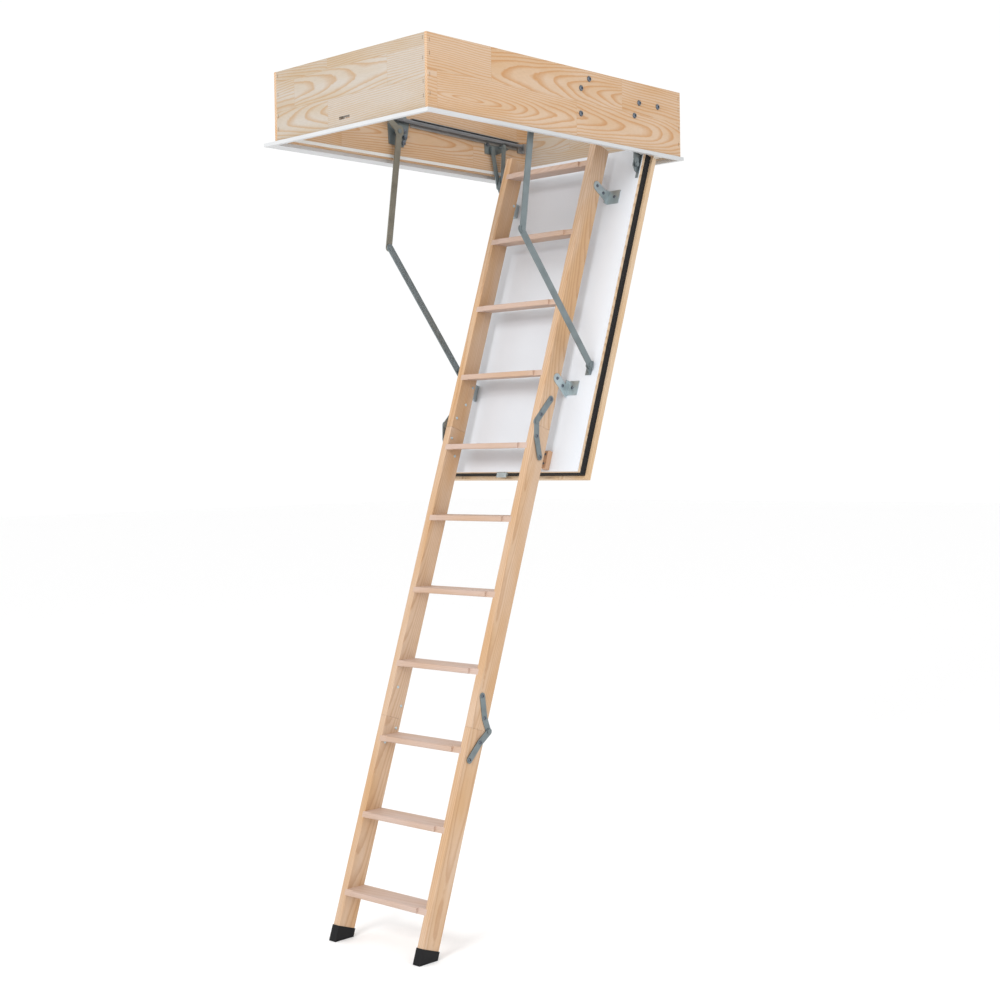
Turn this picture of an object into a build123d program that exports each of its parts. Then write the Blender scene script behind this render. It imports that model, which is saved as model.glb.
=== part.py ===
"""Folding wooden attic ladder in its ceiling casing, standing open.

Frame: millimetres, +Z up. The origin is the centre of the casing opening at the ceiling plane.
+X points to the casing's hinge end, -X to its latch end, -Y to the ladder's right-hand side.
Pieces of the hatch and ladder are drawn in ladder coordinates: "along" runs down the slope from
the hatch face at ceiling height, and "off" stands out square from the hatch's white face.
"""
from build123d import *
from math import atan2, cos, degrees, hypot, radians, sin
import os

# ---- casing ----
CASING_LENGTH = 1200
CASING_WIDTH = 700
CASING_HEIGHT = 220
BOARD = 20                       # thickness of the casing boards
INNER_X = CASING_LENGTH / 2 - BOARD
INNER_Y = CASING_WIDTH / 2 - BOARD
LAP = BOARD / 2                  # half-lap depth at the casing corners
TRIM_OVERHANG = 8
WIDE_OVERHANG = 48               # the left flange is wider
TRIM_LIP = 6                     # how far the trim reaches under the boards
TRIM_THICKNESS = 11
MITRE_GAP = 0.3
SEAL_BOTTOM = 5
SEAL_HEIGHT = 10
SEAL_PROUD = 2.5
STRIKE_Y = 16                    # latch slot centre across the opening
STRIKE_Z = 27
SLOT_WIDTH = 49
SLOT_HEIGHT = 10

# ---- slope of the open hatch and ladder ----
HATCH_X = 431                    # hatch face at ceiling height
SLOPE = 71.18                    # degrees from the horizontal
DOWN = (-cos(radians(SLOPE)), 0, -sin(radians(SLOPE)))
OUT = (-sin(radians(SLOPE)), 0, cos(radians(SLOPE)))

# ---- hatch ----
HATCH_TOP = -20                  # along
HATCH_FOOT = 1125
HATCH_HALF = 323                 # half width of the white face
HATCH_DEPTH = 38                 # inner portion that enters the casing
SKIN = 3
RAIL = 40                        # width of the inner frame rails
BUTT_GAP = 0.1                   # between rails that butt together
FLANGE = 13                      # overhang of the outer frame
FLANGE_DEPTH = 18
FLANGE_START = 0                 # the side overhang starts level with the ceiling
OUTER_RAIL = 60
SEAL_START = 15                  # depth where the rubber seal starts

# ---- ladder ----
STEP_PITCH = 250
FIRST_STEP = 61.8                # along, at the stile's front plane
STEP_THICKNESS = 18
STEP_HOUSING = 8                 # how deep a step sits in each stile
NOSING = 10
NOSING_SETBACK = 30              # nosing stops short of each stile
LADDER_HALF = 207
STILE_THICKNESS = 27
STILE_INNER = LADDER_HALF - STILE_THICKNESS
STILE_FRONT = 112.8              # off
STILE_REAR = 42.6
SECTION_JOINTS = (998.5, 1996.5)
JOINT_GAP = 0.5
STILE_END = 2688                 # the stile runs inside the foot's cap to here
FOOT_TOP = 2677.5
FLOOR_Z = -2546
FIRST_PIVOT = (993, 116)
SECOND_PIVOT = (1993.5, 32.3)

# ---- metalwork planes, distances from the centre plane ----
PLATE = 4
PLATE_Y = INNER_Y - PLATE        # inner face of the plates on the side boards
FRONT_LINK_Y = 318
REAR_LINK_Y = 305
HINGE_EAR_Y = 311
UPPER_ARM_Y = 305
LOWER_ARM_Y = 299
ARM_EAR_Y = 293
LINK_WIDTH = 18
ARM_WIDTH = 25
PIN_RADIUS = 4
PIN_CLEARANCE = 0.05
HEAD_GAP = 0.3
HEAD_THICKNESS = 1.4
STRAP_THICKNESS = 2.5
STRAP_WIDTH = 22
STRAP_GAP = 0.3

# ---- linkage, x and z in the row frame ----
FRONT_LINK_TOP = (370.67, 93.61)
REAR_LINK_TOP = (417.54, 105.32)
FRONT_LINK_HATCH = (49.5, 16)    # along, off
REAR_LINK_HATCH = (23.7, 16)
ARM_PIVOT = (-98.5, 94.4)
ELBOW = (-156, -305)
ARM_HATCH = (767, 18)            # along, off
SPRING_TAIL = (-158, 138)
SPRING_ANCHOR = (530, 120)
SPRING_RADIUS = 7.5
SPRING_Y = 316

SIDES = {"right": -1, "left": 1}


def slope_point(along, off):
    """x and z of a point given in ladder coordinates."""
    return (HATCH_X + along * DOWN[0] + off * OUT[0], along * DOWN[2] + off * OUT[2])


def slope_plane(y):
    """Sketch plane whose x is along and y is off; it extrudes towards +Y."""
    return Plane(origin=(HATCH_X, y, 0), x_dir=DOWN, z_dir=(0, 1, 0))


def upright_plane(y):
    """Sketch plane whose x is +X and y is +Z; it extrudes towards +Y."""
    return Plane(origin=(0, y, 0), x_dir=(-1, 0, 0), z_dir=(0, 1, 0))


def flip(points):
    """Points as x, z in the row frame, turned to suit upright_plane."""
    return [(-x, z) for x, z in points]


def span(side, near, far):
    """Lowest y and the width of a layer between two distances from the centre plane."""
    return (near if side > 0 else -far), far - near


def draw_bar(points, width):
    """A flat bar with round ends through the points, inside a BuildSketch."""
    for start, end in zip(points, points[1:]):
        middle = ((start[0] + end[0]) / 2, (start[1] + end[1]) / 2)
        length = hypot(end[0] - start[0], end[1] - start[1])
        turn = degrees(atan2(end[1] - start[1], end[0] - start[0]))
        with Locations(middle):
            SlotCenterToCenter(length, width, rotation=turn)


def bar(make_plane, side, near, thickness, points, width, holes=()):
    """Adds a flat bar to the current part, with pin holes at the given points."""
    low, depth = span(side, near, near + thickness)
    with BuildSketch(make_plane(low)) as profile:
        draw_bar(points, width)
        if holes:
            with Locations(*holes):
                Circle(PIN_RADIUS + PIN_CLEARANCE, mode=Mode.SUBTRACT)
    extrude(profile.sketch, amount=depth)


def disc(make_plane, side, near, far, centres, radius):
    """Adds round bosses, pins or heads to the current part."""
    low, depth = span(side, near, far)
    with BuildSketch(make_plane(low)) as profile:
        with Locations(*centres):
            Circle(radius)
    extrude(profile.sketch, amount=depth)


def block(make_plane, low_y, high_y, low, high):
    """Adds a rectangular block between two corners of the sketch plane."""
    with BuildSketch(make_plane(low_y)) as profile:
        with Locations(((low[0] + high[0]) / 2, (low[1] + high[1]) / 2)):
            Rectangle(abs(high[0] - low[0]), abs(high[1] - low[1]))
    extrude(profile.sketch, amount=high_y - low_y)


def box_between(low, high):
    """Adds an upright box between two corners of the row frame."""
    with Locations(tuple((a + b) / 2 for a, b in zip(low, high))):
        Box(*[b - a for a, b in zip(low, high)])


def save(piece, name):
    """Labels a finished piece and writes its STEP file."""
    piece.part.label = name
    export_step(piece.part, "parts/" + name + ".step")


def step_top_z(along):
    """Height of a step's top surface from its place on the stile's front plane."""
    return slope_point(along, STILE_FRONT)[1]


def slope_x(z, off):
    """x where the plane at that off crosses a height."""
    along = (z - off * OUT[2]) / DOWN[2]
    return slope_point(along, off)[0]


def step_outline(number):
    """Section of a step between the stile's front and rear planes, as x and z."""
    top = step_top_z(FIRST_STEP + (number - 1) * STEP_PITCH)
    bottom = top - STEP_THICKNESS
    corners = [(STILE_FRONT, top), (STILE_REAR, top), (STILE_REAR, bottom), (STILE_FRONT, bottom)]
    return [(slope_x(z, off), z) for off, z in corners]


os.makedirs("parts", exist_ok=True)

# ---------------------------------------------------------------- casing boards
ARM_BOLTS = {"right": [(80, 77), (82, 158), (122, 193)], "left": [(-66, 60), (-58, 80), (-60, 101)]}
HINGE_BOLTS = {"right": [(377, 153), (476, 154), (352, 108)], "left": [(352, 108)]}
BOLT_HOLE = 4
TOP_CHAMFER = 1.5
STAPLE_CROWN = 12
STAPLE_WIRE = 1.4
SIDE_STAPLES = (43, 98, 159, 197)    # heights on the side faces
END_STAPLES = (37, 78, 146, 205)     # heights on the end faces
STAPLE_INSET = 18                    # of the end-face staples from the side faces


def side_staples(side, mode=Mode.ADD):
    """Staple crowns sunk flush in the outer face of one side board."""
    y = side * (CASING_WIDTH - STAPLE_WIRE) / 2
    ends = (BOARD / 2 - CASING_LENGTH / 2, CASING_LENGTH / 2 - BOARD / 2)
    with Locations(*[(x, y, height) for x in ends for height in SIDE_STAPLES]):
        Box(STAPLE_WIRE, STAPLE_WIRE, STAPLE_CROWN, mode=mode)


def end_staples(end, mode=Mode.ADD):
    """Staple crowns sunk flush in the outer face of one end board."""
    x = end * (CASING_LENGTH - STAPLE_WIRE) / 2
    sides = (STAPLE_INSET - CASING_WIDTH / 2, CASING_WIDTH / 2 - STAPLE_INSET)
    with Locations(*[(x, y, height) for y in sides for height in END_STAPLES]):
        Box(STAPLE_WIRE, STAPLE_WIRE, STAPLE_CROWN, mode=mode)


for side_name, side in SIDES.items():
    with BuildPart() as side_board:
        outer, inner = side * CASING_WIDTH / 2, side * INNER_Y
        half = CASING_LENGTH / 2
        box_between((-half, min(outer, inner), 0), (half, max(outer, inner), CASING_HEIGHT))
        rebate = side * (CASING_WIDTH / 2 - LAP)
        for end in (-1, 1):
            with Locations((end * (half - BOARD / 2), (inner + rebate) / 2, CASING_HEIGHT / 2)):
                Box(BOARD, LAP, CASING_HEIGHT, mode=Mode.SUBTRACT)
        low, depth = span(side, INNER_Y, CASING_WIDTH / 2)
        with BuildSketch(upright_plane(low)):
            with Locations(*flip(ARM_BOLTS[side_name] + HINGE_BOLTS[side_name])):
                Circle(BOLT_HOLE)
        extrude(amount=depth, mode=Mode.SUBTRACT)
        chamfer(side_board.edges().filter_by(Axis.X).group_by(Axis.Z)[-1], length=TOP_CHAMFER)
        side_staples(side, Mode.SUBTRACT)
    save(side_board, "side_board_" + side_name)

with BuildPart() as hinge_end_board:
    box_between((INNER_X, LAP - CASING_WIDTH / 2, 0),
                (CASING_LENGTH / 2, CASING_WIDTH / 2 - LAP, CASING_HEIGHT))
    chamfer(hinge_end_board.edges().filter_by(Axis.Y).group_by(Axis.Z)[-1], length=TOP_CHAMFER)
    end_staples(1, Mode.SUBTRACT)
save(hinge_end_board, "hinge_end_board")

with BuildPart() as latch_end_board:
    box_between((-CASING_LENGTH / 2, LAP - CASING_WIDTH / 2, 0),
                (-INNER_X, CASING_WIDTH / 2 - LAP, CASING_HEIGHT))
    chamfer(latch_end_board.edges().filter_by(Axis.Y).group_by(Axis.Z)[-1], length=TOP_CHAMFER)
    end_staples(-1, Mode.SUBTRACT)
    with Locations((-CASING_LENGTH / 2 + BOARD / 2, STRIKE_Y, STRIKE_Z)):
        Box(BOARD, SLOT_WIDTH, SLOT_HEIGHT, mode=Mode.SUBTRACT)
save(latch_end_board, "latch_end_board")

# ---------------------------------------------------------------- trim and seal round the opening
TRIM_X = CASING_LENGTH / 2 + TRIM_OVERHANG
TRIM_RIGHT = -CASING_WIDTH / 2 - TRIM_OVERHANG
TRIM_LEFT = CASING_WIDTH / 2 + WIDE_OVERHANG
TRIM_INNER_X = CASING_LENGTH / 2 - TRIM_LIP
TRIM_INNER_Y = CASING_WIDTH / 2 - TRIM_LIP
SEALING_GROOVE = 1
with BuildPart() as casing_trim:
    for outer_y, inner_y in ((TRIM_RIGHT, -TRIM_INNER_Y), (TRIM_LEFT, TRIM_INNER_Y)):
        with BuildSketch(Plane.XY.offset(-TRIM_THICKNESS)):
            with BuildLine():
                Polyline(
                    (MITRE_GAP - TRIM_X, outer_y), (TRIM_X - MITRE_GAP, outer_y),
                    (TRIM_INNER_X - MITRE_GAP, inner_y), (MITRE_GAP - TRIM_INNER_X, inner_y),
                    close=True,
                )
            make_face()
        extrude(amount=TRIM_THICKNESS)
    for end in (-1, 1):
        with BuildSketch(Plane.XY.offset(-TRIM_THICKNESS)):
            with BuildLine():
                Polyline(
                    (end * TRIM_X, TRIM_RIGHT), (end * TRIM_X, TRIM_LEFT),
                    (end * TRIM_INNER_X, TRIM_INNER_Y), (end * TRIM_INNER_X, -TRIM_INNER_Y),
                    close=True,
                )
            make_face()
        extrude(amount=TRIM_THICKNESS)
    # sealing groove that parts the ceiling flange from the lip under the boards
    with BuildSketch():
        Rectangle(CASING_LENGTH + 2 * SEALING_GROOVE, CASING_WIDTH + 2 * SEALING_GROOVE)
        Rectangle(CASING_LENGTH, CASING_WIDTH, mode=Mode.SUBTRACT)
    extrude(amount=-SEALING_GROOVE, mode=Mode.SUBTRACT)
save(casing_trim, "casing_trim")

with BuildPart() as casing_seal:
    with BuildSketch(Plane.XY.offset(SEAL_BOTTOM)):
        Rectangle(2 * INNER_X, 2 * INNER_Y)
        Rectangle(2 * (INNER_X - SEAL_PROUD), 2 * (INNER_Y - SEAL_PROUD), mode=Mode.SUBTRACT)
    extrude(amount=SEAL_HEIGHT)
save(casing_seal, "casing_seal")

# ---------------------------------------------------------------- corner staples, sunk in the boards
with BuildPart() as corner_staples:
    for hand in (-1, 1):
        side_staples(hand)
        end_staples(hand)
save(corner_staples, "corner_staples")

# ---------------------------------------------------------------- plates on the side boards
RAIL_DROP = 9.5                  # rail shelf above the spring's centre line
RAIL_START = -30
RAIL_END = 505
HINGE_PLATE = {
    "right": [(340, 75), (395, 75), (440, 92), (492, 140), (492, 168), (360, 168), (338, 120)],
    "left": [(340, 75), (395, 75), (440, 92), (492, 118), (492, 129), (338, 133)],
}
ARM_PLATE = {
    "right": [(-128, 52), (-70, 52), (-52, 100), (-30, 138), (98, 138), (98, 168), (-100, 168), (-132, 120)],
    "left": [(-128, 52), (-62, 46), (-44, 80), (-34, 130), (-60, 168), (-100, 168), (-132, 120)],
}
EAR_WIDTH = 26


def spring_z(x):
    """Height of the spring's centre line."""
    share = (x - SPRING_TAIL[0]) / (SPRING_ANCHOR[0] - SPRING_TAIL[0])
    return SPRING_TAIL[1] + share * (SPRING_ANCHOR[1] - SPRING_TAIL[1])


PIVOT_HEAD = 8


def pivot_stud(side, centre, link_near):
    """A shouldered pin from a board plate through a link, with its head on the inner side."""
    disc(upright_plane, side, link_near - HEAD_GAP, PLATE_Y, flip([centre]), PIN_RADIUS)
    disc(upright_plane, side, link_near - HEAD_GAP - HEAD_THICKNESS, link_near - HEAD_GAP,
         flip([centre]), PIVOT_HEAD)


with BuildPart() as hinge_plates:
    for side_name, side in SIDES.items():
        low, depth = span(side, PLATE_Y, INNER_Y)
        with BuildSketch(upright_plane(low)):
            with BuildLine():
                Polyline(*flip(HINGE_PLATE[side_name]), close=True)
            make_face()
            with Locations(*flip(HINGE_BOLTS[side_name])):
                Circle(BOLT_HOLE, mode=Mode.SUBTRACT)
        extrude(amount=depth)
        pivot_stud(side, FRONT_LINK_TOP, FRONT_LINK_Y)
        pivot_stud(side, REAR_LINK_TOP, REAR_LINK_Y)
save(hinge_plates, "hinge_plates")

with BuildPart() as arm_plates:
    for side_name, side in SIDES.items():
        low, depth = span(side, PLATE_Y, INNER_Y)
        with BuildSketch(upright_plane(low)):
            with BuildLine():
                Polyline(*flip(ARM_PLATE[side_name]), close=True)
            make_face()
            if side_name == "right":
                draw_bar(flip(ARM_BOLTS["right"]), EAR_WIDTH)
            with Locations(*flip(ARM_BOLTS[side_name])):
                Circle(BOLT_HOLE, mode=Mode.SUBTRACT)
        extrude(amount=depth)
        pivot_stud(side, ARM_PIVOT, UPPER_ARM_Y)
save(arm_plates, "arm_plates")

SHELF_NEAR = 309.7
SHELF_THICKNESS = 2
RAIL_DEPTH = 27
STUD_CLEARANCE = 9
with BuildPart() as spring_rails:
    for side in SIDES.values():
        start_z, end_z = spring_z(RAIL_START) + RAIL_DROP, spring_z(RAIL_END) + RAIL_DROP
        for near, height in ((PLATE_Y - SHELF_THICKNESS, RAIL_DEPTH), (SHELF_NEAR, SHELF_THICKNESS)):
            top = SHELF_THICKNESS
            low, depth = span(side, near, PLATE_Y)
            with BuildSketch(upright_plane(low)):
                with BuildLine():
                    Polyline(
                        *flip([
                            (RAIL_START, start_z + top - height), (RAIL_END, end_z + top - height),
                            (RAIL_END, end_z + top), (RAIL_START, start_z + top),
                        ]),
                        close=True,
                    )
                make_face()
                with Locations(*flip([REAR_LINK_TOP, *HINGE_BOLTS["left"]])):
                    Circle(STUD_CLEARANCE, mode=Mode.SUBTRACT)
            extrude(amount=depth)
        # anchor block that the fixed end of the spring is bolted to
        low, depth = span(side, SHELF_NEAR, INNER_Y)
        with BuildSketch(upright_plane(low)):
            with Locations(*flip([(SPRING_ANCHOR[0] + 6, spring_z(SPRING_ANCHOR[0]) - 6)])):
                Rectangle(12, 34)
        extrude(amount=depth)
        low, depth = span(side, PLATE_Y, INNER_Y)
        with BuildSketch(upright_plane(low)):
            with Locations(*flip([(SPRING_ANCHOR[0] + 2, spring_z(SPRING_ANCHOR[0]) - 6)])):
                Rectangle(40, 34)
        extrude(amount=depth)
save(spring_rails, "spring_rails")

# ---------------------------------------------------------------- springs, as their outer shape
EYE_LENGTH = 16
ROD_GAP = 0.5
COIL_START = 40                  # from the tail pin to the first coil
for side_name, side in SIDES.items():
    with BuildPart() as spring:
        run = hypot(SPRING_ANCHOR[0] - SPRING_TAIL[0], SPRING_ANCHOR[1] - SPRING_TAIL[1])
        heading = (SPRING_ANCHOR[0] - SPRING_TAIL[0], 0, SPRING_ANCHOR[1] - SPRING_TAIL[1])
        tail = Plane(origin=(SPRING_TAIL[0], side * SPRING_Y, SPRING_TAIL[1]), z_dir=heading)
        with BuildSketch(tail.offset(COIL_START)):
            Circle(SPRING_RADIUS)
        extrude(amount=run - COIL_START - EYE_LENGTH)
        with BuildSketch(tail.offset(PIN_RADIUS + 2)):
            Circle(2)
        extrude(amount=run - PIN_RADIUS - 2 - ROD_GAP)
        low, depth = span(side, SPRING_Y - 2, SPRING_Y + 2)
        with BuildSketch(upright_plane(low)):
            with Locations(*flip([SPRING_TAIL])):
                Circle(PIN_RADIUS + 4.4)
                Circle(PIN_RADIUS + 0.4, mode=Mode.SUBTRACT)
        extrude(amount=depth)
    save(spring, "spring_" + side_name)

# ---------------------------------------------------------------- bolts through the side boards
BOLT_SHANK = 3.9
BOLT_HEAD = 8.5
BOLT_HEAD_HEIGHT = 3.5
NUT_RADIUS = 6.5
NUT_HEIGHT = 5
KNOB_RADIUS = 8                  # round nuts that the left arm folds against
KNOB_HEIGHT = 9
with BuildPart() as casing_bolts:
    for side_name, side in SIDES.items():
        outer = CASING_WIDTH / 2
        for centre in ARM_BOLTS[side_name] + HINGE_BOLTS[side_name]:
            height = KNOB_HEIGHT if centre in ARM_BOLTS["left"] else NUT_HEIGHT
            radius = KNOB_RADIUS if centre in ARM_BOLTS["left"] else NUT_RADIUS
            disc(upright_plane, side, PLATE_Y - height - 1, outer, flip([centre]), BOLT_SHANK)
            disc(upright_plane, side, PLATE_Y - height, PLATE_Y, flip([centre]), radius)
            disc(upright_plane, side, outer, outer + BOLT_HEAD_HEIGHT, flip([centre]), BOLT_HEAD)
    fillet(casing_bolts.edges().filter_by(GeomType.CIRCLE).filter_by(
        lambda edge: abs(edge.center().Y) > CASING_WIDTH / 2 + 3
        and edge.radius > BOLT_HEAD - 0.1), radius=2.5)
save(casing_bolts, "casing_bolts")

# ---------------------------------------------------------------- latch keeper on the latch-end board
with BuildPart() as strike_plate:
    box_between((-INNER_X, STRIKE_Y - 36, STRIKE_Z - 10), (2 - INNER_X, STRIKE_Y + 36, STRIKE_Z + 12))
    with Locations((-INNER_X + 1, STRIKE_Y, STRIKE_Z)):
        Box(2, SLOT_WIDTH, SLOT_HEIGHT, mode=Mode.SUBTRACT)
save(strike_plate, "strike_plate")

# ---------------------------------------------------------------- hatch
LATCH_ALONG = 1040               # upper end of the latch case
LATCH_OFF = STRIKE_Z - 37        # the white face closes at z = 37
CASE_HALF = 34
CASE_DEPTH = 14
BOLT_HALF = 22
BOLT_THICK = 8
FRAME_FOOT = HATCH_FOOT - RAIL
with BuildPart() as hatch_inner_sheet:
    block(slope_plane, -HATCH_HALF, HATCH_HALF, (HATCH_TOP, -SKIN), (HATCH_FOOT, 0))
save(hatch_inner_sheet, "hatch_inner_sheet")

with BuildPart() as hatch_inner_frame:
    for side in SIDES.values():
        low, depth = span(side, HATCH_HALF - RAIL, HATCH_HALF)
        block(slope_plane, low, low + depth, (HATCH_TOP, -HATCH_DEPTH), (HATCH_FOOT, -SKIN))
    rail_half = HATCH_HALF - RAIL - BUTT_GAP
    block(slope_plane, -rail_half, rail_half, (HATCH_TOP, -HATCH_DEPTH), (HATCH_TOP + RAIL, -SKIN))
    block(slope_plane, -rail_half, rail_half, (FRAME_FOOT, -HATCH_DEPTH), (HATCH_FOOT, -SKIN))
    with BuildSketch(slope_plane(STRIKE_Y - BOLT_HALF - 0.5)):
        with Locations((FRAME_FOOT + RAIL / 2, LATCH_OFF)):
            Rectangle(RAIL, BOLT_THICK + 1)
    extrude(amount=2 * BOLT_HALF + 1, mode=Mode.SUBTRACT)
save(hatch_inner_frame, "hatch_inner_frame")

with BuildPart() as hatch_core:
    block(slope_plane, -rail_half, rail_half, (HATCH_TOP + RAIL, -HATCH_DEPTH), (FRAME_FOOT, -SKIN))
    with BuildSketch(slope_plane(STRIKE_Y - CASE_HALF)):
        with Locations(((LATCH_ALONG + FRAME_FOOT) / 2, LATCH_OFF)):
            Rectangle(FRAME_FOOT - LATCH_ALONG, CASE_DEPTH)
    extrude(amount=2 * CASE_HALF, mode=Mode.SUBTRACT)
save(hatch_core, "hatch_core")

with BuildPart() as latch_case:
    with BuildSketch(slope_plane(STRIKE_Y - CASE_HALF)):
        with Locations(((LATCH_ALONG + FRAME_FOOT) / 2, LATCH_OFF)):
            Rectangle(FRAME_FOOT - LATCH_ALONG, CASE_DEPTH)
    extrude(amount=2 * CASE_HALF)
    with BuildSketch(slope_plane(STRIKE_Y - BOLT_HALF - 0.5)):
        with Locations(((LATCH_ALONG + 4 + FRAME_FOOT) / 2, LATCH_OFF)):
            Rectangle(FRAME_FOOT - LATCH_ALONG - 4, BOLT_THICK + 1)
    extrude(amount=2 * BOLT_HALF + 1, mode=Mode.SUBTRACT)
save(latch_case, "latch_case")

BOLT_TRAVEL = 14
BOLT_TIP = 1142
with BuildPart() as latch_bolt:
    with BuildSketch(slope_plane(STRIKE_Y - BOLT_HALF)):
        with BuildLine():
            Polyline(
                (LATCH_ALONG + 4 + BOLT_TRAVEL + 2, LATCH_OFF - BOLT_THICK / 2),
                (BOLT_TIP - 10, LATCH_OFF - BOLT_THICK / 2),
                (BOLT_TIP, LATCH_OFF + BOLT_THICK / 2 - 2),
                (BOLT_TIP, LATCH_OFF + BOLT_THICK / 2),
                (LATCH_ALONG + 4 + BOLT_TRAVEL + 2, LATCH_OFF + BOLT_THICK / 2),
                close=True,
            )
        make_face()
    extrude(amount=2 * BOLT_HALF)
save(latch_bolt, "latch_bolt")

OUTER_FOOT = HATCH_FOOT + FLANGE
OUTER_HALF = HATCH_HALF + FLANGE
OUTER_FACE = -HATCH_DEPTH - FLANGE_DEPTH
with BuildPart() as hatch_outer_frame:
    block(slope_plane, -HATCH_HALF, HATCH_HALF,
          (HATCH_TOP - FLANGE, OUTER_FACE), (FLANGE_START, -HATCH_DEPTH))
    for side in SIDES.values():
        low, depth = span(side, OUTER_HALF - OUTER_RAIL, OUTER_HALF)
        block(slope_plane, low, low + depth,
              (FLANGE_START + BUTT_GAP, OUTER_FACE), (OUTER_FOOT, -HATCH_DEPTH))
    panel_half = OUTER_HALF - OUTER_RAIL - BUTT_GAP
    block(slope_plane, -panel_half, panel_half,
          (OUTER_FOOT - OUTER_RAIL, OUTER_FACE), (OUTER_FOOT, -HATCH_DEPTH))
save(hatch_outer_frame, "hatch_outer_frame")

with BuildPart() as hatch_outer_sheet:
    block(slope_plane, -panel_half, panel_half,
          (FLANGE_START, OUTER_FACE), (OUTER_FOOT - OUTER_RAIL, -HATCH_DEPTH))
save(hatch_outer_sheet, "hatch_outer_sheet")

SEAL_THICK = 3
with BuildPart() as hatch_seal:
    low_seal, high_seal = -HATCH_DEPTH, -SEAL_START
    with BuildSketch(slope_plane(-HATCH_HALF - SEAL_THICK)):
        with Locations(((FLANGE_START + HATCH_FOOT + SEAL_THICK) / 2, (low_seal + high_seal) / 2)):
            Rectangle(HATCH_FOOT + SEAL_THICK - FLANGE_START, high_seal - low_seal)
    extrude(amount=2 * (HATCH_HALF + SEAL_THICK))
    with BuildSketch(slope_plane(-HATCH_HALF)):
        with Locations(((FLANGE_START + HATCH_FOOT) / 2, (low_seal + high_seal) / 2)):
            Rectangle(HATCH_FOOT - FLANGE_START, high_seal - low_seal)
    extrude(amount=2 * HATCH_HALF, mode=Mode.SUBTRACT)
    with BuildSketch(slope_plane(STRIKE_Y - BOLT_HALF - 0.5)):
        with Locations((HATCH_FOOT + SEAL_THICK / 2, LATCH_OFF)):
            Rectangle(SEAL_THICK, BOLT_THICK + 4)
    extrude(amount=2 * BOLT_HALF + 1, mode=Mode.SUBTRACT)
save(hatch_seal, "hatch_seal")

BLOCK_LOW = (1058, 0)
BLOCK_HIGH = (1120, 22)
BLOCK_NEAR, BLOCK_FAR = 180, 200     # behind the right-hand stile only
BLOCK_ROUND = 9
with BuildPart() as stop_block:
    block(slope_plane, -BLOCK_FAR, -BLOCK_NEAR, BLOCK_LOW, BLOCK_HIGH)
    fillet(stop_block.edges().filter_by(Axis.Y).sort_by(Axis.Z)[-1:], radius=BLOCK_ROUND)
save(stop_block, "stop_block")

# ---------------------------------------------------------------- hatch hinge and arm brackets
FOOT_PLATE = 2
with BuildPart() as hatch_hinge_brackets:
    for side in SIDES.values():
        low, depth = span(side, HINGE_EAR_Y, HINGE_EAR_Y + PLATE)
        with BuildSketch(slope_plane(low)):
            with BuildLine():
                Polyline((8, 0), (8, 20), (16, 28), (57, 28), (72, 12), (72, 0), close=True)
            make_face()
        extrude(amount=depth)
        low, depth = span(side, HINGE_EAR_Y, HATCH_HALF - 1)
        block(slope_plane, low, low + depth, (8, 0), (92, FOOT_PLATE))
        disc(slope_plane, side, HINGE_EAR_Y + PLATE, FRONT_LINK_Y + PLATE + HEAD_GAP,
             [FRONT_LINK_HATCH], PIN_RADIUS)
        head = FRONT_LINK_Y + PLATE + HEAD_GAP
        disc(slope_plane, side, head, head + HEAD_THICKNESS, [FRONT_LINK_HATCH], 8)
save(hatch_hinge_brackets, "hatch_hinge_brackets")

with BuildPart() as arm_brackets:
    for side in SIDES.values():
        low, depth = span(side, ARM_EAR_Y, ARM_EAR_Y + PLATE)
        with BuildSketch(slope_plane(low)):
            with BuildLine():
                Polyline((748, 0), (748, 16), (760, 31), (774, 31), (794, 8), (794, 0), close=True)
            make_face()
        extrude(amount=depth)
        low, depth = span(side, 272, ARM_EAR_Y + PLATE)
        block(slope_plane, low, low + depth, (748, 0), (794, FOOT_PLATE))
        disc(slope_plane, side, ARM_EAR_Y + PLATE, LOWER_ARM_Y + PLATE + HEAD_GAP, [ARM_HATCH], PIN_RADIUS)
        head = LOWER_ARM_Y + PLATE + HEAD_GAP
        disc(slope_plane, side, head, head + HEAD_THICKNESS, [ARM_HATCH], 8)
save(arm_brackets, "arm_brackets")

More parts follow.
